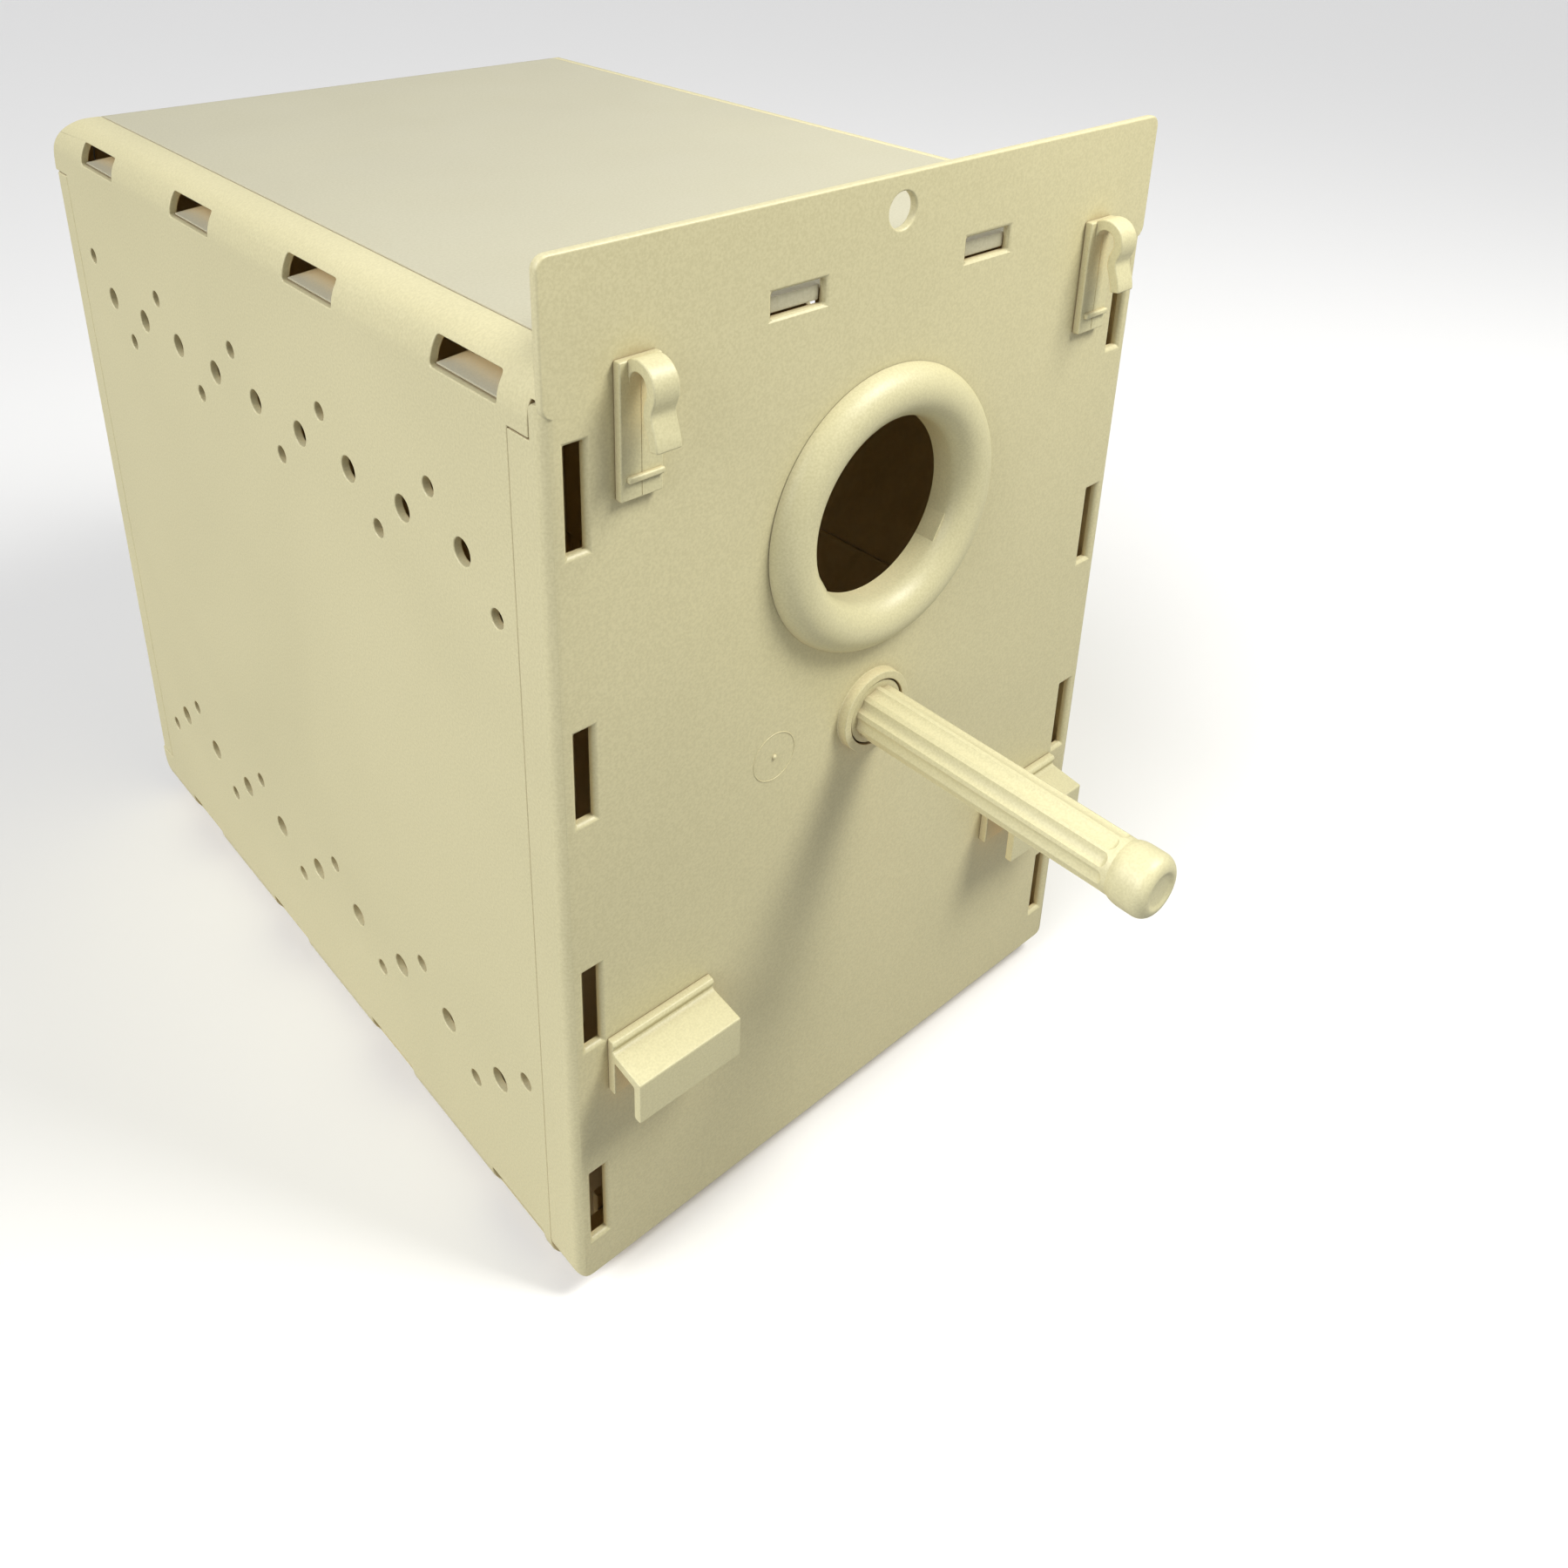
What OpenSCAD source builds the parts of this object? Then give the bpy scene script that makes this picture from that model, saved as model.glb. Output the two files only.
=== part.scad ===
// Snap-together plastic nest box for a cage front, with a round entrance and a plug-in perch.
// Millimetres, +Z up, the front faces -Y, X = 0 is the middle plane.
// Every sub-part is drawn with y = 0 on the front panel's face, then place() centres the whole.

/* [Body] */
// Outside width of the box
body_w = 200; // [160:1:240]
// Outside depth, front face to rear face
body_d = 284; // [220:1:340]
// Outside height of the side panels and roof
body_h = 272; // [220:1:320]
// Wall of every moulded panel
wall = 2.4; // [1.8:0.1:3.2]
// Radius of the rolled long edges of the side panels
roll_r = 12; // [8:0.5:16]
// Radius of the rolled rear edges of the roof and floor
rear_r = 19; // [14:0.5:24]

/* [Front panel] */
// Height of the front panel's top edge
front_top = 295; // [280:1:320]
// Height of the front panel's bottom edge
front_foot = 8; // [0:0.5:12]
// Depth of the flanges that meet the side panels
flange_d = 13; // [8:0.5:18]
// Radius of the front panel's rounded vertical edges
front_edge_r = 3.4; // [2:0.1:5]
// Radius of the hanging hole near the top edge
hang_r = 4.5; // [3:0.5:6]
// Height of the hanging hole
hang_z = 286.2; // [280:0.1:290]
// Height of one vertical tab slot
slot_h = 25; // [18:1:30]
// Distance between neighbouring vertical tab slots
slot_pitch = 69.5; // [60:0.5:75]
// Height of the lowest vertical slot's middle
slot_z = 34; // [28:0.5:40]

/* [Side panels] */
// Number of wedge slots along each rolled edge
wedge_count = 4; // [2:1:5]
// Distance between neighbouring wedge slots
wedge_pitch = 71.2; // [60:0.1:75]
// Distance of the first wedge slot's middle behind the front face
wedge_y = 29.5; // [25:0.5:35]
// Length of one wedge slot
wedge_slot_l = 26; // [20:1:30]
// Number of large air holes in one row
vent_count = 9; // [5:1:10]
// Distance between neighbouring large air holes
vent_pitch = 26.6; // [24:0.1:30]
// Distance of the first large air hole behind the front face
vent_y = 34.5; // [30:0.5:40]
// Radius of the large air holes
vent_r = 3.5; // [2:0.1:4.5]
// Radius of the small air holes
vent_small_r = 2.5; // [1.5:0.1:3]
// Distance of the small air holes above or below their row
vent_offset = 11; // [9:0.5:13]
// Distance of each row of air holes from the panel's middle height
vent_row = 82; // [70:1:90]

/* [Entrance] */
// Height of the entrance's middle
hole_z = 209.3; // [190:0.1:220]
// Radius of the clear way through the entrance ring
throat_r = 25; // [20:0.5:30]
// Radius of the ring's round bead
bead_r = 7; // [5:0.5:9]
// Reach of the ring's throat behind the front face
throat_l = 8; // [6:0.5:12]

/* [Perch] */
// Height of the perch's axis
perch_z = 149.3; // [140:0.1:160]
// Reach of the perch in front of the panel
perch_reach = 91; // [70:1:120]
// Radius of the perch at its root
perch_r = 7.8; // [6:0.1:9]
// Radius of the perch just behind its end knob
perch_tip_r = 7.3; // [6:0.1:9]
// Number of grip flutes round the perch
flutes = 10; // [8:1:20]
// Depth of the grip flutes
flute_depth = 0.7; // [0.3:0.1:1.2]
// Radius of the end knob
knob_r = 8.2; // [7.8:0.1:9]
// Radius of the plug that fits the socket
plug_r = 9.4; // [8:0.1:10]

/* [Hooks and brackets] */
// Distance of each hook's middle from the box's middle
hook_x = 77.4; // [60:0.1:85]
// Clear gap of each hook for a cage wire
hook_gap = 5.6; // [4:0.1:8]
// Thickness of the hook's arm
hook_arm_t = 2.8; // [2:0.1:4]
// Distance of each lower bracket's middle from the box's middle
bracket_x = 72.2; // [55:0.1:80]
// Width of each lower bracket
bracket_w = 32.8; // [20:0.1:40]
// Clear gap of each lower bracket for a cage wire
bracket_gap = 8; // [5:0.1:10]

/* [Hidden] */
$fn = 64;
half_w = body_w / 2;
seam_x = half_w - roll_r;          // the roof meets the side panels here
seam_gap = 0.3;                    // shadow gap between two panels
play = 0.3;                        // clearance round each tab
over = 1;                          // how far a cutter runs past a face
shift_y = (body_d - perch_reach) / 2;
plastic = [0.84, 0.82, 0.67];
warm_plastic = [0.80, 0.77, 0.61];

rear_seam_z = body_h - rear_r;     // the rolled rear edge ends here
rear_flange_d = 10;                // depth of the rear panel's side flanges
nose_z = 256.5;                    // above this the side panel reaches over the front flange
nose_y = 5;                        // front end of that reach
nose_top_z = 264.5;                // top of the front flange's short upper part
front_corner_r = 5;                // rounded lower corners of the front panel
front_top_r = 3;                   // rounded upper corners of the front panel

slot_x0 = 90;                      // inner side of a vertical tab slot
slot_w = 5;
slot_count = 4;
roof_slot_x0 = 24;                 // inner side of a horizontal tab slot
roof_slot_w = 16;
roof_slot_z0 = 269;
roof_slot_h = 6;
roof_tab_x0 = 27;                  // inner end of the roof's tab in that slot
roof_tab_z0 = 270.6;               // lower side of the roof's tab
roof_tab_h = 2.7;
tab_back = 2;                      // how far a tab's end lies behind the front face

wedge_z0 = 260;                    // lower side of a wedge slot
wedge_h = 7;
wedge_back = 3.5;                  // level top of a wedge, next to the skirt
wedge_lip = 0.5;                   // thickness of a wedge's thin outer edge
wedge_rise = 1.1;                  // a wedge is this much thicker at the skirt
wedge_tip_x = half_w - 1.4;        // outer end of a wedge
skirt_h = 11;                      // depth of the skirts below the roof
skirt_t = 2.4;
skirt_front = 4;                   // the skirts start this far behind the cover's front end
upstand_h = 3 * wall;              // height of the floor's upstand above the front panel's foot
upstand_end = 4;                   // gap between the upstand's ends and the side panels

socket_r = 12;                     // outside of the perch socket
socket_bore = plug_r + play;
socket_front = 3;                  // reach of the socket in front of the panel
socket_back = 14;                  // reach of the socket behind the panel's face
plug_back = 12;                    // reach of the plug behind the panel's face
plug_step = 0.4;                   // the plug ends this far inside the socket's rim
knob_l = 10;
knob_round = 3;                    // radius of the knob's rounded ends
knob_dish = 0.6;                   // depth of the shallow dish in the knob's end
knob_dish_rim = 0.8;               // flat rim left round the dish
flute_stop = 1.5;                  // plain stretch between the flutes and the knob
flute_r = 3.1;                     // radius of the cutter of one flute

ring_r = throat_r + bead_r;        // middle of the bead
bead_sink = 0.9;                   // the bead's centre lies this far behind the face
sleeve_t = 2.2;                    // wall of the ring's throat
sleeve_play = 0.3;                 // clearance between the throat and the plate
notch_r = 1.2;                     // small notches in the ring's left and right edges
notch_out = 0.4;                   // a notch's centre lies this far outside the edge

hook_w = 11;                       // base plate of a hook
hook_t = 2.2;
hook_z0 = 239.3;
hook_h = 31.2;
hook_arm_w = 6.6;
hook_arm_z0 = 252.8;
hook_arch_z = 266;                 // centre height of the hook's arch

bracket_t = 2.6;
bracket_z0 = 73;
bracket_top = 90.5;
bracket_shelf_z = 86.7;
bracket_leg_z0 = 72.3;

inner_rib_z = 118.5;               // stiffening rib inside each side panel
inner_rib_h = 1.6;
inner_rib_t = 1;                   // how far that rib stands out from the wall
inner_rib_end = 20;                // the rib stops this far before the rear flange
tongue_foot = 4;                   // the tongue reaches this far below the lowest slot
tongue_head = 2;                   // and stops this far below the highest slot's top
guide_play = 0.4;                  // clearance of the rear panel's guide lips
guide_end = 30;                    // the lips stop this far from the panel's ends
guide_l = 18;                      // length of a guide lip, from the rear face

// ---- helpers ----

// Moves a sub-part from the front panel's face to the centred frame.
module place() {
    translate([0, -shift_y, 0]) children();
}

// A box between two corners.
module block(low, high) {
    translate(low) cube(high - low);
}

// A rod along Y from y0 to y1, centred on (x, z).
module rod_y(x, z, r, y0, y1) {
    translate([x, y0, z]) rotate([-90, 0, 0]) cylinder(h = y1 - y0, r = r);
}

// A rod along X from x0 to x1, centred on (y, z).
module rod_x(y, z, r, x0, x1) {
    translate([x0, y, z]) rotate([0, 90, 0]) cylinder(h = x1 - x0, r = r);
}

// Mirrored copies at -X and +X.
module both_sides() {
    for (side = [0, 1]) mirror([side, 0, 0]) children();
}

// The same thing upside down, about the body's middle height.
module upside_down() {
    translate([0, 0, body_h]) mirror([0, 0, 1]) children();
}

// The body's cross-section with four rolled edges, running along Y.
module long_prism(inset) {
    x = half_w - inset;
    r = roll_r - inset;
    z0 = inset;
    z1 = body_h - inset;
    union() {
        block([-x + r, -over, z0], [x - r, body_d, z1]);
        block([-x, -over, z0 + r], [x, body_d, z1 - r]);
        for (sx = [-1, 1], z = [z0 + r, z1 - r]) rod_y(sx * (x - r), z, r, -over, body_d);
    }
}

// The body's side view with two rolled rear edges, running along X.
module cross_prism(inset) {
    r = rear_r - inset;
    y1 = body_d - inset;
    z0 = inset;
    z1 = body_h - inset;
    union() {
        block([-half_w, -over, z0], [half_w, y1 - r, z1]);
        block([-half_w, -over, z0 + r], [half_w, y1, z1 - r]);
        for (z = [z0 + r, z1 - r]) rod_x(y1 - r, z, r, -half_w, half_w);
    }
}

// The closed outside of the body, or its inside when inset by the wall.
module body_form(inset) {
    intersection() {
        long_prism(inset);
        cross_prism(inset);
    }
}

// The skin that the side panels, roof and floor are cut from.
module body_skin() {
    difference() {
        body_form(0);
        body_form(wall);
    }
}

// ---- front panel ----

// The panel's outline seen from the front, with rounded corners, y0 to y1 deep.
module front_outline(y0, y1) {
    foot_x = half_w - front_corner_r;
    top_x = half_w - front_top_r;
    foot_z = front_foot + front_corner_r;
    top_z = front_top - front_top_r;
    union() {
        block([-half_w, y0, foot_z], [half_w, y1, top_z]);
        block([-foot_x, y0, front_foot], [foot_x, y1, foot_z]);
        block([-top_x, y0, top_z], [top_x, y1, front_top]);
        for (side = [-1, 1]) {
            rod_y(side * foot_x, foot_z, front_corner_r, y0, y1);
            rod_y(side * top_x, top_z, front_top_r, y0, y1);
        }
    }
}

// A slab with rounded vertical front edges: the flanges and the plate are cut from these.
module front_tray(z0, z1, depth, r) {
    intersection() {
        union() {
            block([-half_w + r, 0, z0], [half_w - r, depth, z1]);
            block([-half_w, r, z0], [half_w, depth, z1]);
            for (side = [-1, 1])
                translate([side * (half_w - r), r, z0]) cylinder(h = z1 - z0, r = r);
        }
        block([-half_w, 0, z0], [half_w, depth, z1]);
    }
}

// Everything that is cut right through the plate.
module front_openings() {
    rod_y(0, hang_z, hang_r, -over, wall + over);
    rod_y(0, hole_z, throat_r + sleeve_t + sleeve_play, -over, wall + over);
    both_sides() {
        for (k = [0 : slot_count - 1]) {
            z = slot_z + slot_pitch * k;
            block([slot_x0, -over, z - slot_h / 2],
                  [slot_x0 + slot_w, wall + over, z + slot_h / 2]);
        }
        block([roof_slot_x0, -over, roof_slot_z0],
              [roof_slot_x0 + roof_slot_w, wall + over, roof_slot_z0 + roof_slot_h]);
    }
}

// Front panel: plate, side and bottom flanges, slots and the perch socket.
module front_panel() {
    inside = half_w - wall;
    color(plastic) place() difference() {
        union() {
            difference() {
                intersection() {
                    front_outline(0, flange_d);
                    union() {
                        front_tray(0, nose_z - seam_gap, flange_d, front_edge_r);
                        front_tray(0, nose_top_z, nose_y, front_edge_r);
                        front_tray(nose_top_z - over, front_top, wall, wall / 2);
                    }
                }
                block([-inside, wall, front_foot + wall], [inside, flange_d + over, front_top]);
            }
            rod_y(0, perch_z, socket_r, -socket_front, socket_back);
        }
        front_openings();
        rod_y(0, perch_z, socket_bore, -socket_front - over, socket_back + over);
    }
}

// ---- side panels ----

// One row of air holes; the small ones alternate below and above it.
module vent_row_holes(z, first_below) {
    for (k = [0 : vent_count - 1])
        rod_x(vent_y + vent_pitch * k, z, vent_r, half_w - wall - over, half_w + over);
    for (j = [0 : vent_count]) {
        below = (j % 2 == 0) == first_below;
        rod_x(vent_y + vent_pitch * (j - 0.5), z + (below ? -vent_offset : vent_offset),
              vent_small_r, half_w - wall - over, half_w + over);
    }
}

// The slots that hold the wedges of the roof.
module wedge_slots() {
    for (k = [0 : wedge_count - 1]) {
        y = wedge_y + wedge_pitch * k;
        block([seam_x + 2, y - wedge_slot_l / 2, wedge_z0],
              [half_w + over, y + wedge_slot_l / 2, wedge_z0 + wedge_h]);
    }
}

// The tongue behind the front flange, with the tabs that fill the front panel's slots.
module front_tongue() {
    z0 = slot_z - slot_h / 2 - tongue_foot;
    z1 = slot_z + slot_pitch * (slot_count - 1) + slot_h / 2 - tongue_head;
    tongue_x0 = slot_x0 + play;
    tongue_x1 = slot_x0 + slot_w - play;
    back = flange_d + seam_gap;
    block([tongue_x0, wall + play, z0], [tongue_x1, back + wall, z1]);
    block([tongue_x0, back, z0], [half_w - wall / 2, back + wall, z1]);
    for (k = [0 : slot_count - 1]) {
        z = slot_z + slot_pitch * k;
        block([tongue_x0, tab_back, z - slot_h / 2 + play],
              [tongue_x1, back, min(z + slot_h / 2 - play, z1)]);
    }
}

// A side panel on the +X side: flat wall, two rolled edges, tongue, holes and slots.
module side_panel() {
    color(plastic) place() difference() {
        union() {
            intersection() {
                body_skin();
                union() {
                    block([seam_x, flange_d + seam_gap, 0],
                          [half_w, body_d - rear_flange_d, nose_z]);
                    block([seam_x, flange_d + seam_gap, 0], [half_w, body_d, rear_r]);
                    block([seam_x, flange_d + seam_gap, rear_seam_z], [half_w, body_d, body_h]);
                    block([seam_x, nose_y + seam_gap, nose_z], [half_w, body_d, body_h]);
                    block([seam_x, wall + seam_gap, nose_top_z + seam_gap],
                          [half_w, body_d, body_h]);
                }
            }
            front_tongue();
            block([half_w - wall - inner_rib_t, flange_d + seam_gap, inner_rib_z],
                  [half_w - wall / 2, body_d - rear_flange_d - inner_rib_end,
                   inner_rib_z + inner_rib_h]);
        }
        wedge_slots();
        upside_down() wedge_slots();
        vent_row_holes(body_h / 2 + vent_row, true);
        vent_row_holes(body_h / 2 - vent_row, false);
    }
}

module right_side_panel() {
    side_panel();
}

module left_side_panel() {
    mirror([1, 0, 0]) side_panel();
}

// ---- roof and floor ----

// One wedge: a low ramp that lies on the lower side of its slot, extruded along Y.
module wedge(y0, y1) {
    x0 = seam_x - seam_gap * 2;
    z0 = wedge_z0 + play;
    z1 = z0 + wedge_lip + wedge_rise;
    translate([0, y1, 0]) rotate([90, 0, 0]) linear_extrude(height = y1 - y0)
        polygon([[x0, z0], [wedge_tip_x, z0], [wedge_tip_x, z0 + wedge_lip],
                 [x0 + wedge_back, z1], [x0, z1]]);
}

// A flat cover with its rear edge rolled down, side skirts and wedges; front_y is its front end.
module cover(front_y) {
    x = seam_x - seam_gap;
    union() {
        intersection() {
            body_skin();
            block([-x, front_y, rear_seam_z], [x, body_d, body_h]);
        }
        both_sides() {
            block([x - seam_gap - skirt_t, front_y + skirt_front, body_h - skirt_h - wall],
                  [x - seam_gap, body_d - rear_r, body_h - wall / 2]);
            for (k = [0 : wedge_count - 1]) {
                y = wedge_y + wedge_pitch * k;
                wedge(y - wedge_slot_l / 2 + play, y + wedge_slot_l / 2 - play);
            }
        }
    }
}

module roof_panel() {
    color(warm_plastic) place() union() {
        cover(wall + seam_gap);
        both_sides()
            block([roof_tab_x0, tab_back, roof_tab_z0],
                  [roof_slot_x0 + roof_slot_w - play, wall * 2, roof_tab_z0 + roof_tab_h]);
    }
}

// The floor is the same cover upside down; its upstand closes the front below the panel.
module floor_panel() {
    front = flange_d + seam_gap;
    x = seam_x - upstand_end;
    color(warm_plastic) place() union() {
        upside_down() cover(front);
        block([-x, front, wall / 2], [x, front + wall, front_foot + upstand_h]);
    }
}

// ---- rear panel ----

// Rear panel: plate, side flanges and two guide lips that slide inside the walls.
module rear_panel() {
    z0 = rear_r + seam_gap;
    z1 = rear_seam_z - seam_gap;
    y0 = body_d - rear_flange_d + seam_gap;
    edge = wall;
    lip_x = half_w - wall - guide_play;
    color(plastic) place() union() {
        difference() {
            union() {
                block([-half_w + edge, y0, z0], [half_w - edge, body_d, z1]);
                block([-half_w, y0, z0], [half_w, body_d - edge, z1]);
                for (side = [-1, 1])
                    translate([side * (half_w - edge), body_d - edge, z0])
                        cylinder(h = z1 - z0, r = edge);
            }
            block([-half_w + wall, y0 - over, z0 - over], [half_w - wall, body_d - wall, z1 + over]);
        }
        both_sides()
            block([lip_x - wall, body_d - guide_l, z0 + guide_end],
                  [lip_x, body_d - wall / 2, z1 - guide_end]);
    }
}

// ---- entrance ring ----

// One snap lug on the throat: it holds the ring behind the plate.
module snap_lug(angle) {
    lug_w = 6;
    lug_l = 3.5;
    translate([0, 0, hole_z]) rotate([0, -angle, 0])
        block([throat_r + sleeve_t / 2, throat_l - lug_l, -lug_w / 2],
              [throat_r + sleeve_t + 2, throat_l, lug_w / 2]);
}

module entrance_ring() {
    outside = ring_r + bead_r;
    color(plastic) place() difference() {
        union() {
            intersection() {
                translate([0, bead_sink, hole_z]) rotate([90, 0, 0]) rotate_extrude()
                    translate([ring_r, 0]) circle(r = bead_r);
                block([-outside - over, -bead_r, hole_z - outside - over],
                      [outside + over, 0, hole_z + outside + over]);
            }
            difference() {
                rod_y(0, hole_z, throat_r + sleeve_t, -1, throat_l);
                rod_y(0, hole_z, throat_r, -over * 2, throat_l + over);
            }
            for (angle = [90, 210, 330]) snap_lug(angle);
        }
        for (side = [-1, 1]) rod_y(side * (outside + notch_out), hole_z, notch_r, -bead_r, over);
    }
}

// ---- perch ----

// The knob's rounded rim: a ring of the rounding radius.
module knob_rim(y) {
    translate([0, y, perch_z]) rotate([90, 0, 0]) rotate_extrude()
        translate([knob_r - knob_round, 0]) circle(r = knob_round);
}

// The cutter of one flute: a slim cone that keeps its depth along the tapered shaft.
module flute(angle) {
    reach = perch_r - flute_depth + flute_r;
    taper = perch_r - perch_tip_r;
    translate([reach * cos(angle), 0, perch_z + reach * sin(angle)]) rotate([90, 0, 0])
        cylinder(h = perch_reach - knob_l - flute_stop, r1 = flute_r, r2 = flute_r + taper);
}

// Perch: plug, fluted and slightly tapered shaft, rounded end knob with a shallow dish.
module perch() {
    tip = -perch_reach;
    knob_back = tip + knob_l;
    color(plastic) place() difference() {
        union() {
            rod_y(0, perch_z, plug_r, -socket_front + plug_step, plug_back);
            difference() {
                translate([0, 0, perch_z]) rotate([90, 0, 0])
                    cylinder(h = perch_reach - knob_l / 2, r1 = perch_r, r2 = perch_tip_r);
                for (k = [0 : flutes - 1]) flute(90 + 360 * (k + 0.5) / flutes);
            }
            rod_y(0, perch_z, knob_r, tip + knob_round, knob_back - knob_round);
            rod_y(0, perch_z, knob_r - knob_round, tip, knob_back);
            knob_rim(tip + knob_round);
            knob_rim(knob_back - knob_round);
        }
        rod_y(0, perch_z, knob_r - knob_round - knob_dish_rim, tip - over, tip + knob_dish);
    }
}

// ---- hooks and brackets ----

// A hook round x = 0: base plate, small ridge, arch and sprung arm.
module hook() {
    mid = hook_gap / 2;
    y_mid = -hook_t - mid;
    arm_in = y_mid - mid;
    arm_out = arm_in - hook_arm_t;
    pinch = 1.2;
    flare = 0.8;
    ridge_z = hook_z0 + 4.2;
    ridge_h = 1.5;
    ridge_out = 1;
    ridge_x = hook_w / 2 - 1.5;
    union() {
        block([-hook_w / 2, -hook_t, hook_z0], [hook_w / 2, 0, hook_z0 + hook_h]);
        block([-ridge_x, -hook_t - ridge_out, ridge_z], [ridge_x, -hook_t / 2, ridge_z + ridge_h]);
        intersection() {
            difference() {
                rod_x(y_mid, hook_arch_z, mid + hook_arm_t, -hook_arm_w / 2, hook_arm_w / 2);
                rod_x(y_mid, hook_arch_z, mid, -hook_w, hook_w);
            }
            block([-hook_w, arm_out, hook_arch_z], [hook_w, -hook_t / 2, hook_arch_z + 10]);
        }
        translate([-hook_arm_w / 2, 0, 0]) rotate([90, 0, 90]) linear_extrude(height = hook_arm_w)
            polygon([[arm_in, hook_arch_z + 0.01], [arm_in, 264], [arm_in + pinch, 262],
                     [arm_in + pinch, 259.5], [arm_in, 257.5], [arm_in - flare, hook_arm_z0],
                     [arm_out - flare, hook_arm_z0], [arm_out, 257], [arm_out + pinch, 259.2],
                     [arm_out + pinch, 262], [arm_out, 264.5], [arm_out, hook_arch_z + 0.01]]);
    }
}

module left_hook() {
    color(plastic) place() translate([-hook_x, 0, 0]) hook();
}

module right_hook() {
    color(plastic) place() translate([hook_x, 0, 0]) hook();
}

// A lower bracket round x = 0: back plate with a lip, sloping shelf and hanging leg.
module bracket() {
    leg_in = -bracket_t - bracket_gap;
    leg_out = leg_in - bracket_t + 0.1;
    drop = 1.4;
    translate([-bracket_w / 2, 0, 0]) rotate([90, 0, 90]) linear_extrude(height = bracket_w)
        polygon([[0, bracket_z0], [0, bracket_top], [-bracket_t, bracket_top - 0.8],
                 [-bracket_t, bracket_top - 2], [-bracket_t + 0.8, bracket_shelf_z + 0.6],
                 [-bracket_t - 0.4, bracket_shelf_z], [leg_out, bracket_shelf_z - drop],
                 [leg_out, bracket_leg_z0], [leg_in, bracket_leg_z0],
                 [leg_in, bracket_shelf_z - drop - bracket_t],
                 [-bracket_t, bracket_shelf_z - bracket_t], [-bracket_t, bracket_z0]]);
}

module left_bracket() {
    color(plastic) place() translate([-bracket_x, 0, 0]) bracket();
}

module right_bracket() {
    color(plastic) place() translate([bracket_x, 0, 0]) bracket();
}

front_panel();
left_side_panel();
right_side_panel();
roof_panel();
floor_panel();
rear_panel();
entrance_ring();
perch();
left_hook();
right_hook();
left_bracket();
right_bracket();
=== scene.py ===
# %% [markdown]
# # A snap-together nest box for small parrots
# The box is made of a few thin plastic mouldings: a tall front panel, two side panels with rolled
# edges, a roof, a floor, a rear panel, a round entrance ring, a fluted perch, and hooks and
# brackets that hang it on a cage front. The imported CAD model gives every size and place. Each
# moulding is modelled again here with its rounded edges, and stands for its CAD part.

import math

import bpy
from mathutils import Matrix, Vector


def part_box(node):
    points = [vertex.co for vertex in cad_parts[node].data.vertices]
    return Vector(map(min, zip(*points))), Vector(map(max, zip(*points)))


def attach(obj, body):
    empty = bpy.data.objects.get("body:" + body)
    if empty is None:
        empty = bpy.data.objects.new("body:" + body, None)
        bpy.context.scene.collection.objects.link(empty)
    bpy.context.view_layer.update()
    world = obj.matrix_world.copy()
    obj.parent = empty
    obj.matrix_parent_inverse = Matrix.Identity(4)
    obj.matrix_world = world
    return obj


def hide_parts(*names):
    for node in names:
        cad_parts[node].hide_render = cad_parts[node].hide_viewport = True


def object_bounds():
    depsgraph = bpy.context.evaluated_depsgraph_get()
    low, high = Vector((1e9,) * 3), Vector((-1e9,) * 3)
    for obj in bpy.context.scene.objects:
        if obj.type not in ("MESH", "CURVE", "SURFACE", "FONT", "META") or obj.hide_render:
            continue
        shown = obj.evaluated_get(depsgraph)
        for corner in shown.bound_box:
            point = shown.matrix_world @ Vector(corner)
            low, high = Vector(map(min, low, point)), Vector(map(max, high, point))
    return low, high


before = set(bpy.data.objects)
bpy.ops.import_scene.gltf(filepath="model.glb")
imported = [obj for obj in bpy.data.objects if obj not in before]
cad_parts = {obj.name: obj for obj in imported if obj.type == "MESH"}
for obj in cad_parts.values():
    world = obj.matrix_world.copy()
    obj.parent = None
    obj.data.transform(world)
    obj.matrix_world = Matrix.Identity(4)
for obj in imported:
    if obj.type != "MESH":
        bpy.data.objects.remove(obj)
cad_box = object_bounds()
print("CAD parts:", sorted(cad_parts))
print("CAD box (m):", [[round(v, 4) for v in corner] for corner in cad_box])

# %% [markdown]
# A person who designs such a box thinks in millimetres from the front panel's face: how wide, how
# far behind the face, how high above the base. `at()` turns those three numbers into a place in
# metres, so that every size below reads like a drawing. The main sizes are read from the CAD parts
# rather than typed again, so the two models can't drift apart.

# %% Sizes, in millimetres
MM = 0.001
face_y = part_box("left_bracket")[1].y


def at(x, y, z):
    """Across from the middle, back from the front face, up from the base, in mm, as a place in m."""
    return Vector((x * MM, face_y + y * MM, z * MM))


def drawn(place):
    """The other way round: a place in metres as millimetres on the drawing."""
    return Vector((place.x / MM, (place.y - face_y) / MM, place.z / MM))


half_w = drawn(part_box("front_panel")[1]).x
front_top = drawn(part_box("front_panel")[1]).z
front_foot = drawn(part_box("front_panel")[0]).z
body_h = drawn(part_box("left_side_panel")[1]).z
body_d = drawn(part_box("left_side_panel")[1]).y
perch_tip = drawn(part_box("perch")[0]).y
perch_z = (drawn(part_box("perch")[0]).z + drawn(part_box("perch")[1]).z) / 2
hole_z = (drawn(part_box("entrance_ring")[0]).z + drawn(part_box("entrance_ring")[1]).z) / 2
hook_x = (drawn(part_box("right_hook")[0]).x + drawn(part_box("right_hook")[1]).x) / 2
bracket_x = (drawn(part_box("right_bracket")[0]).x + drawn(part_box("right_bracket")[1]).x) / 2

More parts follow.
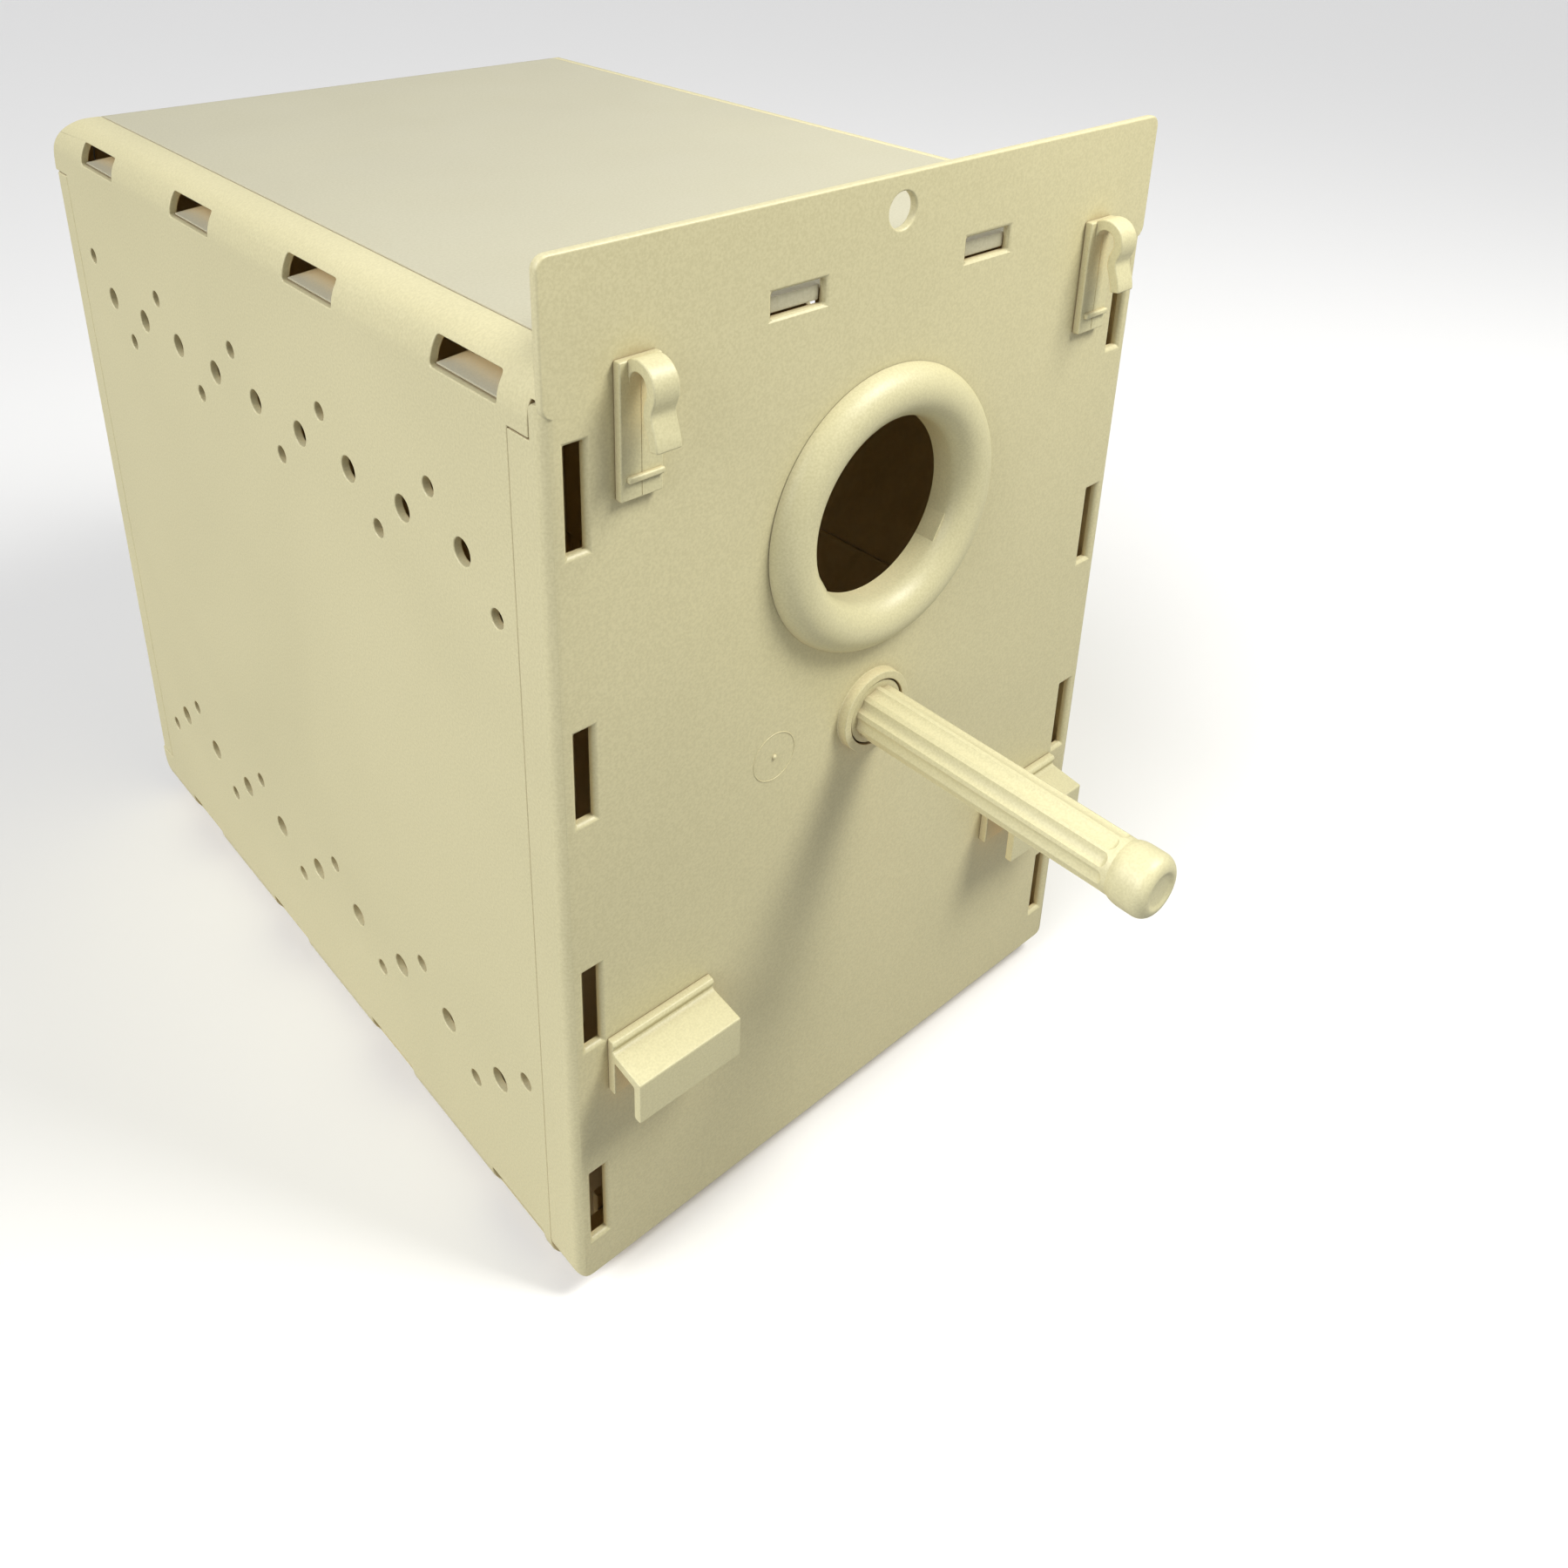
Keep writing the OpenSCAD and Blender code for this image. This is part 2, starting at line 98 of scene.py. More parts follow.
wall = 2.4            # every moulded wall
roll_r = 12           # rolled long edges of the sides
rear_r = 19           # rolled rear edges of the roof and floor
gap = 0.3             # shadow gap between two mouldings
thin_gap = 0.06       # the tighter gap along the front flange
tab_back = 7          # the side tabs' ends lie this far behind the face
roof_tab_back = 0.9   # the roof tabs' ends lie this far behind the face
flange_d = 13         # flanges of the front panel
rear_flange_d = 10    # flanges of the rear panel
nose_z = 256.5        # above this the side reaches forward over the front flange
nose_top = 264.5      # top of the front flange's short upper part
nose_y = 5
seam_x = half_w - roll_r
print("Body", 2 * half_w, "x", round(body_d, 1), "x", round(body_h, 1), "mm; front to", round(front_top, 1))

# %% [markdown]
# In Blender a moulding starts as a plain block or rod and is then cut, bent or rounded. These
# helpers are the workshop's hand tools. Each one deselects everything first, because an operator
# works on all that is selected, and each one leaves the piece at the world's origin with its place
# held in its mesh.

# %% Workshop tools: blocks and rods
def settle(name):
    """Names the piece just made and moves its place, turn and scale into its mesh."""
    piece = bpy.context.active_object
    piece.name = name
    bpy.ops.object.transform_apply(location=True, rotation=True, scale=True)
    return piece


def block(name, low, high):
    """A box between two corners of the drawing."""
    a, b = at(*low), at(*high)
    bpy.ops.object.select_all(action="DESELECT")
    bpy.ops.mesh.primitive_cube_add(size=1, location=(a + b) / 2, scale=b - a)
    return settle(name)


def rod(name, start, end, r, sides=48, tip_r=None):
    """A round rod or cone between two places of the drawing."""
    a, b = at(*start), at(*end)
    turn = (b - a).to_track_quat("Z", "Y").to_euler()
    bpy.ops.object.select_all(action="DESELECT")
    bpy.ops.mesh.primitive_cone_add(vertices=sides, radius1=r * MM,
                                    radius2=(r if tip_r is None else tip_r) * MM,
                                    depth=(b - a).length, location=(a + b) / 2, rotation=turn)
    return settle(name)


# %% [markdown]
# Edges and faces are picked by where they are on the drawing, and by which way a face looks. That
# keeps working when a size changes, which a list of edge numbers would not.

# %% Workshop tools: picking, rounding, cutting
def only(piece):
    """Makes this the one selected and active piece."""
    bpy.ops.object.select_all(action="DESELECT")
    piece.select_set(True)
    bpy.context.view_layer.objects.active = piece


def pick(piece, test, edges=False):
    """Enters edit mode with the faces, or the edges, that pass the test selected."""
    only(piece)
    bpy.ops.object.mode_set(mode="EDIT")
    bpy.ops.mesh.select_mode(type="EDGE" if edges else "FACE")
    bpy.ops.mesh.select_all(action="DESELECT")
    bpy.ops.object.mode_set(mode="OBJECT")
    mesh = piece.data
    if edges:
        for edge in mesh.edges:
            a, b = (drawn(mesh.vertices[i].co) for i in edge.vertices)
            edge.select = bool(test(a, b))
    else:
        for face in mesh.polygons:
            face.select = bool(test(drawn(face.center), face.normal))
    bpy.ops.object.mode_set(mode="EDIT")


def done():
    """Leaves edit mode."""
    bpy.ops.object.mode_set(mode="OBJECT")


def round_edges(piece, test, r, steps):
    """Rounds the edges that pass the test, as a cutter with that radius would."""
    pick(piece, test, edges=True)
    bpy.ops.mesh.bevel(offset=r * MM, segments=steps, affect="EDGES", clamp_overlap=False)
    done()
    return piece


def joined(name, pieces):
    """Several loose pieces as one."""
    bpy.ops.object.select_all(action="DESELECT")
    for piece in pieces:
        piece.select_set(True)
    bpy.context.view_layer.objects.active = pieces[0]
    bpy.ops.object.join()
    pieces[0].name = name
    return pieces[0]


def combine(piece, tool, how="DIFFERENCE"):
    """Cuts the tool out of the piece, adds it, or keeps only what both share."""
    only(piece)
    change = piece.modifiers.new("combine", "BOOLEAN")
    change.operation = how
    change.solver = "EXACT"
    change.object = tool
    bpy.ops.object.modifier_apply(modifier=change.name)
    bpy.data.objects.remove(tool)
    return piece


def copied(piece, name):
    """A second piece with a mesh of its own."""
    twin = piece.copy()
    twin.data = piece.data.copy()
    twin.name = name
    bpy.context.scene.collection.objects.link(twin)
    return twin


def mirrored(piece, name, axis, middle=0.0):
    """A mirror image, about a plane given on the drawing, with its faces turned outwards again."""
    twin = copied(piece, name)
    only(twin)
    scale = [1, 1, 1]
    scale[axis] = -1
    plane = at(0, 0, 0)
    plane[axis] = at(*[middle if i == axis else 0 for i in range(3)])[axis]
    bpy.ops.object.mode_set(mode="EDIT")
    bpy.ops.mesh.select_all(action="SELECT")
    bpy.ops.transform.resize(value=scale, center_override=plane)
    bpy.ops.mesh.flip_normals()
    done()
    return twin


# %% [markdown]
# Nothing that comes out of a mould has a sharp edge. The last step on every moulding is a small
# Bevel on all its real corners, followed by Weighted Normals, which keep the large faces looking
# flat while the small roundings catch the light. Slivers left by cutting are merged first, because
# they would stop the bevel.

# %% Workshop tools: the moulded finish
def shade(piece, corner=38):
    """Smooth shading that keeps large faces flat."""
    only(piece)
    bpy.ops.object.shade_smooth_by_angle(angle=math.radians(corner))
    even = piece.modifiers.new("even shading", "WEIGHTED_NORMAL")
    even.mode = "FACE_AREA"
    even.weight = 80
    even.keep_sharp = True
    bpy.ops.object.modifier_apply(modifier=even.name)
    print(piece.name, "has", len(piece.data.polygons), "faces")
    return piece


def mould(piece, r=0.5, steps=2, corner=38, clamp=False):
    """Rounds all sharp corners a little and shades the piece."""
    only(piece)
    bpy.ops.object.mode_set(mode="EDIT")
    bpy.ops.mesh.select_all(action="SELECT")
    bpy.ops.mesh.remove_doubles(threshold=0.02 * MM)
    bpy.ops.mesh.dissolve_limited(angle_limit=math.radians(0.3))
    done()
    soft = piece.modifiers.new("soft corners", "BEVEL")
    soft.width = r * MM
    soft.segments = steps
    soft.limit_method = "ANGLE"
    soft.angle_limit = math.radians(corner)
    soft.use_clamp_overlap = clamp
    soft.miter_outer = "MITER_SHARP"
    bpy.ops.object.modifier_apply(modifier=soft.name)
    return shade(piece, corner)


# %% [markdown]
# ## The skin of the box
# The sides, roof and floor together make one box with rolled edges. It could be built panel by
# panel, but then the curves would not meet. Here the whole skin is made once: one long block with
# four rolled edges and one with two rolled rear edges keep what they share, and the same form, a
# wall thickness smaller, is taken out of it. Each panel is then sawn from a copy of the skin.

# %% The rolled form
def along_y(a, b):
    return abs(a.x - b.x) < 0.01 and abs(a.z - b.z) < 0.01


def along_x(a, b):
    return abs(a.y - b.y) < 0.01 and abs(a.z - b.z) < 0.01


def along_z(a, b):
    return abs(a.x - b.x) < 0.01 and abs(a.y - b.y) < 0.01


def rolled_form(name, inset):
    """The outside of the box, or its inside when inset by the wall; open at the front."""
    x, z0, z1 = half_w - inset, inset, body_h - inset
    front = -2 - inset
    long_way = block(name, (-x, front, z0), (x, body_d + 4, z1))
    round_edges(long_way, along_y, roll_r - inset, 14)
    across = block("across", (-half_w - 4, front - 4, z0), (half_w + 4, body_d - inset, z1))
    round_edges(across, lambda a, b: along_x(a, b) and a.y > 0, rear_r - inset, 14)
    return combine(long_way, across, "INTERSECT")


skin = combine(rolled_form("skin", 0), rolled_form("hollow", wall))
print("Skin of the box:", len(skin.data.polygons), "faces")


# %% [markdown]
# ## Side panels
# Each side is a flat wall whose long edges roll over to meet the roof and floor. Two rows of air
# holes run along it, small ones alternating above and below large ones, and four slots in each
# rolled edge hold the wedges of the roof and floor. The holes and slots are cut with rods and
# rounded blocks. The left side is made first and mirrored.

# %% Saw the side panel out of the skin
far = 400


def sawn(piece, *blocks):
    """Takes several blocks away, given as pairs of corners."""
    for low, high in blocks:
        combine(piece, block("saw", low, high))
    return piece


side = copied(skin, "left_side")
sawn(side,
     ((-seam_x, -far, -far), (far, far, far)),
     ((-far, -far, -far), (far, flange_d + thin_gap, nose_z)),
     ((-far, -far, nose_z - 1), (far, nose_y + gap, nose_top + gap)),
     ((-far, -far, nose_top), (far, wall + gap, far)),
     ((-far, body_d - rear_flange_d, rear_r), (far, far, body_h - rear_r)))
print("Side panel sawn:", len(side.data.polygons), "faces")

# %% Air holes
vent_pitch = 26.6     # from one large hole to the next
vent_y = 34.5         # the first large hole
vent_offset = 11      # the small holes lie this far above or below the row
big_r, small_r = 3.5, 2.5


def air_hole(y, z, r):
    return rod("drill", (-half_w - 3, y, z), (-half_w + wall + 3, y, z), r, sides=24)


drills = []
for row, small_first in ((218, -1), (54, 1)):
    drills += [air_hole(vent_y + vent_pitch * k, row, big_r) for k in range(9)]
    drills += [air_hole(vent_y + vent_pitch * (j - 0.5), row + small_first * (-1) ** j * vent_offset,
                        small_r) for j in range(10)]
print("Air holes in one side:", len(drills))
combine(side, joined("drills", drills))

# %% Wedge slots
wedge_ys = [29.5 + 71.2 * k for k in range(4)]
slot_l = 26
slot_z0, slot_z1 = 260, 267


def wedge_slot(y, z0, z1):
    slot = block("slot", (-half_w - 3, y - slot_l / 2, z0), (-half_w + 9.8, y + slot_l / 2, z1))
    return round_edges(slot, along_x, 0.9, 3)


slots = [wedge_slot(y, slot_z0, slot_z1) for y in wedge_ys]
slots += [wedge_slot(y, body_h - slot_z1, body_h - slot_z0) for y in wedge_ys]
combine(side, joined("slots", slots))

mould(side, 0.4, 3)

# %% [markdown]
# Behind the front flange the side carries a tongue with four tabs. They reach through the front
# panel's slots and lock the two together. A stiffening rib runs along the inside of the wall.

# %% Tongue, tabs and rib
tab_slot_x, tab_slot_half = (90, 95), 12.5
tab_zs = [34 + 69.5 * k for k in range(4)]
tongue_z0, tongue_z1 = 17.5, 253
tongue_x0, tongue_x1 = -tab_slot_x[1] + gap, -tab_slot_x[0] - gap
tongue_back = flange_d + gap + wall
tongue = [
    block("tongue", (tongue_x0, tab_back + 1, tongue_z0), (tongue_x1, tongue_back, tongue_z1)),
    block("web", (-98.8, flange_d + gap, tongue_z0), (tongue_x1, tongue_back, tongue_z1)),
    block("rib", (-98.8, flange_d + gap, 118.5), (-96.6, 254, 120.1)),
]
for z in tab_zs:
    tab = block("tab", (tongue_x0, tab_back, z - tab_slot_half + gap),
                (tongue_x1, flange_d, min(z + tab_slot_half - gap, tongue_z1)))
    tongue.append(round_edges(tab, lambda a, b: along_z(a, b) and a.y < tab_back + 0.1, 0.5, 2))
inner = joined("tongue", tongue)
mould(inner, 0.3, 1)
left_side = joined("left_side", [side, inner])
right_side = mirrored(left_side, "right_side", 0)

# %% [markdown]
# ## Roof and floor
# The roof is a flat cover whose rear edge rolls down over the back. Skirts under its sides carry
# wedges that snap into the slots of the side panels, and two tabs reach through the front panel.
# The floor is the same cover upside down, with a low upstand behind the front panel.

# %% Cover
cover = copied(skin, "roof")
cover_x = seam_x - gap
sawn(cover,
     ((-far, -far, -far), (far, far, body_h - rear_r)),
     ((-far, -far, -far), (-cover_x, far, far)),
     ((cover_x, -far, -far), (far, far, far)),
     ((-far, -far, -far), (far, wall + gap, far)))
floor_cover = sawn(mirrored(cover, "floor", 2, body_h / 2),
                   ((-far, -far, -far), (far, flange_d + gap, far)))

# %% Skirts and wedges
skirt_x = cover_x - gap


def wedge(y0, y1):
    """A low ramp on the lower side of a slot: a block whose outer end is made thinner."""
    ramp = block("wedge", (-98.6, y0, 260.3), (-skirt_x, y1, 261.9))
    pick(ramp, lambda c, n: n.x < -0.9)
    bpy.ops.transform.resize(value=(1, 1, 0.35), center_override=at(0, 0, 260.3))
    done()
    return ramp


left_skirt = [block("skirt", (-skirt_x, 6.7, 258.6), (-skirt_x + wall, body_d - rear_r, body_h - 1.2))]
left_skirt += [wedge(y - slot_l / 2 + gap, y + slot_l / 2 - gap) for y in wedge_ys]
skirts = joined("skirts", left_skirt)
skirts = joined("skirts", [skirts, mirrored(skirts, "skirts_right", 0)])
floor_skirts = sawn(mirrored(skirts, "floor_skirts", 2, body_h / 2), ((-far, -far, -far), (far, 16.8, far)))
mould(skirts, 0.35, 2)
mould(floor_skirts, 0.35, 2)

# %% Finish the roof and the floor
tabs = [block("tab", (24.3, roof_tab_back, 269.7), (39.9, 2 * wall, 274.2))]
tabs.append(mirrored(tabs[0], "tab_left", 0))
mould(cover, 0.5, 3)
roof = joined("roof", [cover, skirts, mould(joined("tabs", tabs), 0.3, 1)])
upstand = block("upstand", (-84, flange_d + gap, 1.2), (84, flange_d + gap + wall, front_foot + 3 * wall))
mould(floor_cover, 0.5, 3)
floor = joined("floor_panel_skin", [floor_cover, floor_skirts, mould(upstand, 0.4, 2)])
bpy.data.objects.remove(skin)

# %% [markdown]
# ## Rear panel
# The back is a plate with a narrow flange on each side and two guide lips that slide inside the
# walls. It pulls straight off, to clean the box. It is a block with rounded upright edges that is
# hollowed from the inside.

# %% Rear panel
rear_z0, rear_z1 = rear_r + gap, body_h - rear_r - gap
rear = block("rear", (-half_w, body_d - rear_flange_d + gap, rear_z0), (half_w, body_d, rear_z1))
round_edges(rear, lambda a, b: along_z(a, b) and a.y > body_d - 1, wall, 6)
sawn(rear, ((-half_w + wall, 0, -far), (half_w - wall, body_d - wall, far)))
mould(rear, 0.6, 3)
lip = block("lip", (94.8, body_d - 18, rear_z0 + 30), (97.2, body_d - 1.2, rear_z1 - 30))
mould(lip, 0.5, 2)
rear_panel = joined("rear", [rear, lip, mirrored(lip, "lip_left", 0)])

# %% [markdown]
# ## Front panel
# The front is a tray: a plate that stands taller than the box, with flanges that wrap round the
# sides and bottom. Its upright edges are well rounded where the flanges are, and thin above. The
# tray with the flanges and the thin upper plate are cut and rounded one by one and then united,
# because their edges lie too close together to be rounded as one. Each tab slot has a sloping
# mouth, so its cutter is a block whose front face is pulled forward and made wider.

# %% Plate and flanges
foot_r, top_r, edge_r = 5, 3, 3.4


def slab(name, depth, z0, z1, r, steps):
    """A slab behind the face with rounded upright front edges."""
    piece = block(name, (-half_w, 0, z0), (half_w, depth, z1))
    return round_edges(piece, lambda a, b: along_z(a, b) and a.y < 0.01, r, steps)


front = block("front", (-half_w, 0, front_foot), (half_w, flange_d, nose_z - gap))
round_edges(front, lambda a, b: along_y(a, b) and a.z < front_foot + 1, foot_r, 6)
upright = slab("upright", flange_d + 4, front_foot - 2, nose_z + 4, edge_r, 6)
combine(front, upright, "INTERSECT")
shoulder = slab("shoulder", nose_y, nose_z - 20, nose_top, edge_r, 6)
round_top = [(x, nose_y + 3, nose_top + 3) for x in (-half_w - 5, half_w + 5)]
combine(shoulder, rod("round_top", *round_top, 5, 48))
combine(front, shoulder, "UNION")
inside = half_w - wall
sawn(front, ((-inside, wall, front_foot + wall), (inside, far, far)))
print("Tray hollowed:", len(front.data.polygons), "faces")
plate = block("plate", (-half_w, 0, nose_top - edge_r), (half_w, wall, front_top))
round_edges(plate, lambda a, b: along_y(a, b) and a.z > front_top - 1, top_r, 6)
round_edges(plate, lambda a, b: along_y(a, b) and a.z < nose_top, edge_r, 6)


# %% Holes and slots
def slot_cutter(x0, x1, z0, z1, flare=0.8):
    """A block through the plate whose mouth slopes outwards at the face."""
    cutter = block("slot_cutter", (x0, flare, z0), (x1, wall + 2, z1))
    middle = at((x0 + x1) / 2, 0, (z0 + z1) / 2)
    pick(cutter, lambda c, n: n.y < -0.9)
    bpy.ops.mesh.extrude_region_move(TRANSFORM_OT_translate={"value": (0, -2 * flare * MM, 0)})
    wide_x = 1 + 4 * flare / (x1 - x0)
    wide_z = 1 + 4 * flare / (z1 - z0)
    bpy.ops.transform.resize(value=(wide_x, 1, wide_z), center_override=middle)
    done()
    return cutter


tray_cutters = [rod("ring_hole", (0, -3, hole_z), (0, 5, hole_z), 27.5, 96)]
plate_cutters = [rod("hang_hole", (0, -3, 286.2), (0, 5, 286.2), 4.5, 40)]
for side_x in (-1, 1):
    x0, x1 = sorted(side_x * x for x in tab_slot_x)
    tray_cutters += [slot_cutter(x0, x1, z - tab_slot_half, z + tab_slot_half) for z in tab_zs]
    x0, x1 = sorted((side_x * 24, side_x * 40))
    plate_cutters.append(slot_cutter(x0, x1, 269, 275, 0.7))
combine(front, joined("tray_cutters", tray_cutters))
combine(plate, joined("plate_cutters", plate_cutters))
print("Tray and plate cut:", len(front.data.polygons), len(plate.data.polygons), "faces")

# %% Perch socket, then plate and tray united
socket = rod("socket", (0, -3, perch_z), (0, 14, perch_z), 12, 64)
combine(front, socket, "UNION")
combine(front, rod("socket_bore", (0, -8, perch_z), (0, 20, perch_z), 9.7, 64))
mould(front, 0.35, 2)
mould(plate, 0.6, 3)
combine(front, plate, "UNION")
shade(front)

# %% [markdown]
# Where the plastic was let into the mould there is a faint round witness mark with a tiny nub in
# the middle. It is a very low ring and a dot, and it stays in the finished front because real
# mouldings have it.

# %% Gate mark
gate = at(-34.7, 0, 150)
bpy.ops.object.select_all(action="DESELECT")
bpy.ops.mesh.primitive_torus_add(location=gate, rotation=(math.pi / 2, 0, 0), major_segments=48,
                                 minor_segments=8, major_radius=7 * MM, minor_radius=0.16 * MM)
mark = settle("gate_ring")
bpy.ops.object.select_all(action="DESELECT")
bpy.ops.mesh.primitive_uv_sphere_add(segments=16, ring_count=8, radius=0.7 * MM, location=gate)
nub = settle("gate_nub")
bpy.ops.object.shade_smooth()
only(mark)
bpy.ops.object.shade_smooth()
front_panel = joined("front", [front, mark, nub])

# %% [markdown]
# ## Entrance ring
# The ring is a smooth round bead with a short throat behind it. A torus gives the bead. Its rear
# half is cut away, and the open inner edge is extruded back to make the throat, then out and
# forward again for the throat's outside. Three low pads inside the throat stand where it snaps.

# %% Ring
bead_r, throat_r = 7, 25
ring_r = throat_r + bead_r
bpy.ops.object.select_all(action="DESELECT")
bpy.ops.mesh.primitive_torus_add(location=at(0, 0.9, hole_z), rotation=(math.pi / 2, 0, 0),
                                 major_segments=112, minor_segments=40,
                                 major_radius=ring_r * MM, minor_radius=bead_r * MM)
ring = settle("ring")
pick(ring, lambda c, n: c.y > 0.35)
bpy.ops.mesh.delete(type="FACE")
done()


def ring_edge(inner_side):
    def test(a, b):
        rim = min(math.hypot(p.x, p.z - hole_z) for p in (a, b))
        return min(a.y, b.y) > -0.3 and (rim < ring_r) == inner_side
    return test


pick(ring, ring_edge(True), edges=True)
middle = at(0, 0, hole_z)
bpy.ops.mesh.extrude_region_move(TRANSFORM_OT_translate={"value": (0, 5.6 * MM, 0)})
bpy.ops.mesh.extrude_region_move(TRANSFORM_OT_translate={"value": (0, 0, 0)})
bpy.ops.transform.resize(value=(27.2 / 25, 1, 27.2 / 25), center_override=middle)
bpy.ops.mesh.extrude_region_move(TRANSFORM_OT_translate={"value": (0, -5.2 * MM, 0)})
done()
lugs = []
for angle in (90, 210, 330):
    lug = block("lug", (throat_r - 0.25, -0.9, hole_z - 4), (throat_r + 1.5, 5.2, hole_z + 4))
    only(lug)
    bpy.ops.object.mode_set(mode="EDIT")
    bpy.ops.mesh.select_all(action="SELECT")
    bpy.ops.transform.rotate(value=math.radians(angle), orient_axis="Y", center_override=middle)
    done()
    lugs.append(mould(lug, 0.2, 2))
only(ring)
bpy.ops.object.shade_smooth_by_angle(angle=math.radians(50))
entrance = joined("ring", [ring] + lugs)

# %% [markdown]
# ## Perch
# The perch is a slightly tapered stick with ten shallow grip flutes, a plug that fills its socket,
# and a smooth rounded knob with a dished end. The shaft is a cone cut by ten slim cones with round
# ends. The knob is turned: a circle is extruded from ring to ring and resized each time, as its
# outline asks, with the rounding worked out as a quarter circle.

# %% Shaft with flutes
knob_l, perch_r, tip_r = 10, 7.8, 7.3
shaft = rod("shaft", (0, 0.5, perch_z), (0, perch_tip + 4, perch_z), perch_r, 80, tip_r)
flute_r, flute_depth = 3.1, 0.7
reach = perch_r - flute_depth + flute_r
flute_end = perch_tip + knob_l + 2.5
tools = []
for k in range(10):
    a = math.radians(108 + 36 * k)
    x, z = reach * math.cos(a), perch_z + reach * math.sin(a)
    tools.append(rod("flute", (x, 3, z), (x, flute_end, z), flute_r, 32, flute_r + perch_r - tip_r))
    bpy.ops.object.select_all(action="DESELECT")
    bpy.ops.mesh.primitive_uv_sphere_add(segments=24, ring_count=12, radius=(flute_r + 0.5) * MM,
                                         location=at(x, flute_end, z), scale=(1, 0.55, 1))
    tools.append(settle("flute_end"))
for tool in tools:
    combine(shaft, tool)
mould(shaft, 0.18, 2, 30, clamp=True)

# %% Knob and plug
def turned(name, outline, sides=64):
    """A round piece on the perch's axis, extruded from ring to ring along (y, r) points."""
    start_y, start_r = outline[0]
    axis = at(0, 0, perch_z)
    bpy.ops.object.select_all(action="DESELECT")
    bpy.ops.mesh.primitive_circle_add(vertices=sides, radius=start_r * MM, fill_type="NGON",
                                      location=at(0, start_y, perch_z), rotation=(math.pi / 2, 0, 0))
    piece = settle(name)
    pick(piece, lambda c, n: True)
    for (y0, r0), (y1, r1) in zip(outline, outline[1:]):
        bpy.ops.mesh.extrude_region_move(TRANSFORM_OT_translate={"value": (0, (y1 - y0) * MM, 0)})
        bpy.ops.transform.resize(value=(r1 / r0, 1, r1 / r0), center_override=axis)
    bpy.ops.mesh.select_all(action="SELECT")
    bpy.ops.mesh.normals_make_consistent(inside=False)
    done()
    return piece


knob_r, rim_r = 8.15, 3.2
outline = [(knob_l + 0.4, 7.2), (knob_l - 0.6, 7.7), (knob_l - 1.6, 8.0), (knob_l - 3.0, knob_r)]
for step in range(9):
    turn = math.radians(90 * step / 8)
    outline.append((rim_r * (1 - math.sin(turn)), knob_r - rim_r * (1 - math.cos(turn))))
outline += [(0.1, 4.7), (0.4, 4.2), (0.55, 3.6), (0.6, 0.4)]
knob = turned("knob", [(perch_tip + y, r) for y, r in outline])
bpy.ops.object.shade_smooth_by_angle(angle=math.radians(50))
plug = mould(rod("plug", (0, -2.6, perch_z), (0, 12, perch_z), 9.4, 64), 0.5, 2)
perch = joined("perch_stick", [shaft, knob, plug])

# %% [markdown]
# ## Hooks
# Each hook is a small base plate with a sprung arm that arches over a cage wire and pinches it. The
# arm is one strip: a block whose end face is extruded along the arch in small turns, the way a
# strip of plastic would be bent, and then down the pinched leg. A ridge near the bottom of the
# plate stops the wire from slipping out, and a thin parting line runs down the middle.

# %% Hook arm as a bent strip
hook_gap, arm_t, arm_w, plate_t = 5.6, 2.8, 6.6, 2.2
arch_z = 266
arch_y = -plate_t - hook_gap / 2
arch_r = hook_gap / 2 + arm_t / 2


def strip(name, width, path, thickness):
    """A strip swept down a path of (y, z) points: its end face is extruded from point to point."""
    def across_path(i):
        before, after = path[max(i - 1, 0)], path[min(i + 1, len(path) - 1)]
        along = Vector((0, after[0] - before[0], after[1] - before[1])).normalized()
        return along, Vector((0, -along.z, along.y))
    corners = []
    for i, (y, z) in enumerate(path):
        along, out = across_path(i)
        before = Vector((0, *path[max(i - 1, 0)]))
        here = Vector((0, y, z))
        step = (here - before).normalized() if i else along
        stretch = 1 / max(0.8, abs(along.dot(step)))
        corners.append((here - out * thickness / 2 * stretch, here + out * thickness / 2 * stretch))
    bpy.ops.object.select_all(action="DESELECT")
    bpy.ops.mesh.primitive_plane_add(size=1)
    piece = settle(name)
    piece.data.vertices[0].co = at(-width / 2, corners[0][0].y, corners[0][0].z)
    piece.data.vertices[1].co = at(width / 2, corners[0][0].y, corners[0][0].z)
    piece.data.vertices[3].co = at(width / 2, corners[0][1].y, corners[0][1].z)
    piece.data.vertices[2].co = at(-width / 2, corners[0][1].y, corners[0][1].z)
    only(piece)
    bpy.ops.object.mode_set(mode="EDIT")
    bpy.ops.mesh.select_mode(type="FACE")
    bpy.ops.mesh.select_all(action="SELECT")
    for i in range(1, len(path)):
        bpy.ops.mesh.extrude_region_move(TRANSFORM_OT_translate={"value": (0, 0, 0)})
        bpy.ops.object.mode_set(mode="OBJECT")
        ends = [v for v in piece.data.vertices if v.select]
        for v in ends:
            side_x = math.copysign(width / 2, v.co.x)
            low, high = corners[i - 1]
            near = (v.co - at(side_x, low.y, low.z)).length < (v.co - at(side_x, high.y, high.z)).length
            goal = corners[i][0] if near else corners[i][1]
            v.co = at(side_x, goal.y, goal.z)
        bpy.ops.object.mode_set(mode="EDIT")
    bpy.ops.mesh.select_all(action="SELECT")
    bpy.ops.mesh.normals_make_consistent(inside=False)
    done()
    return piece


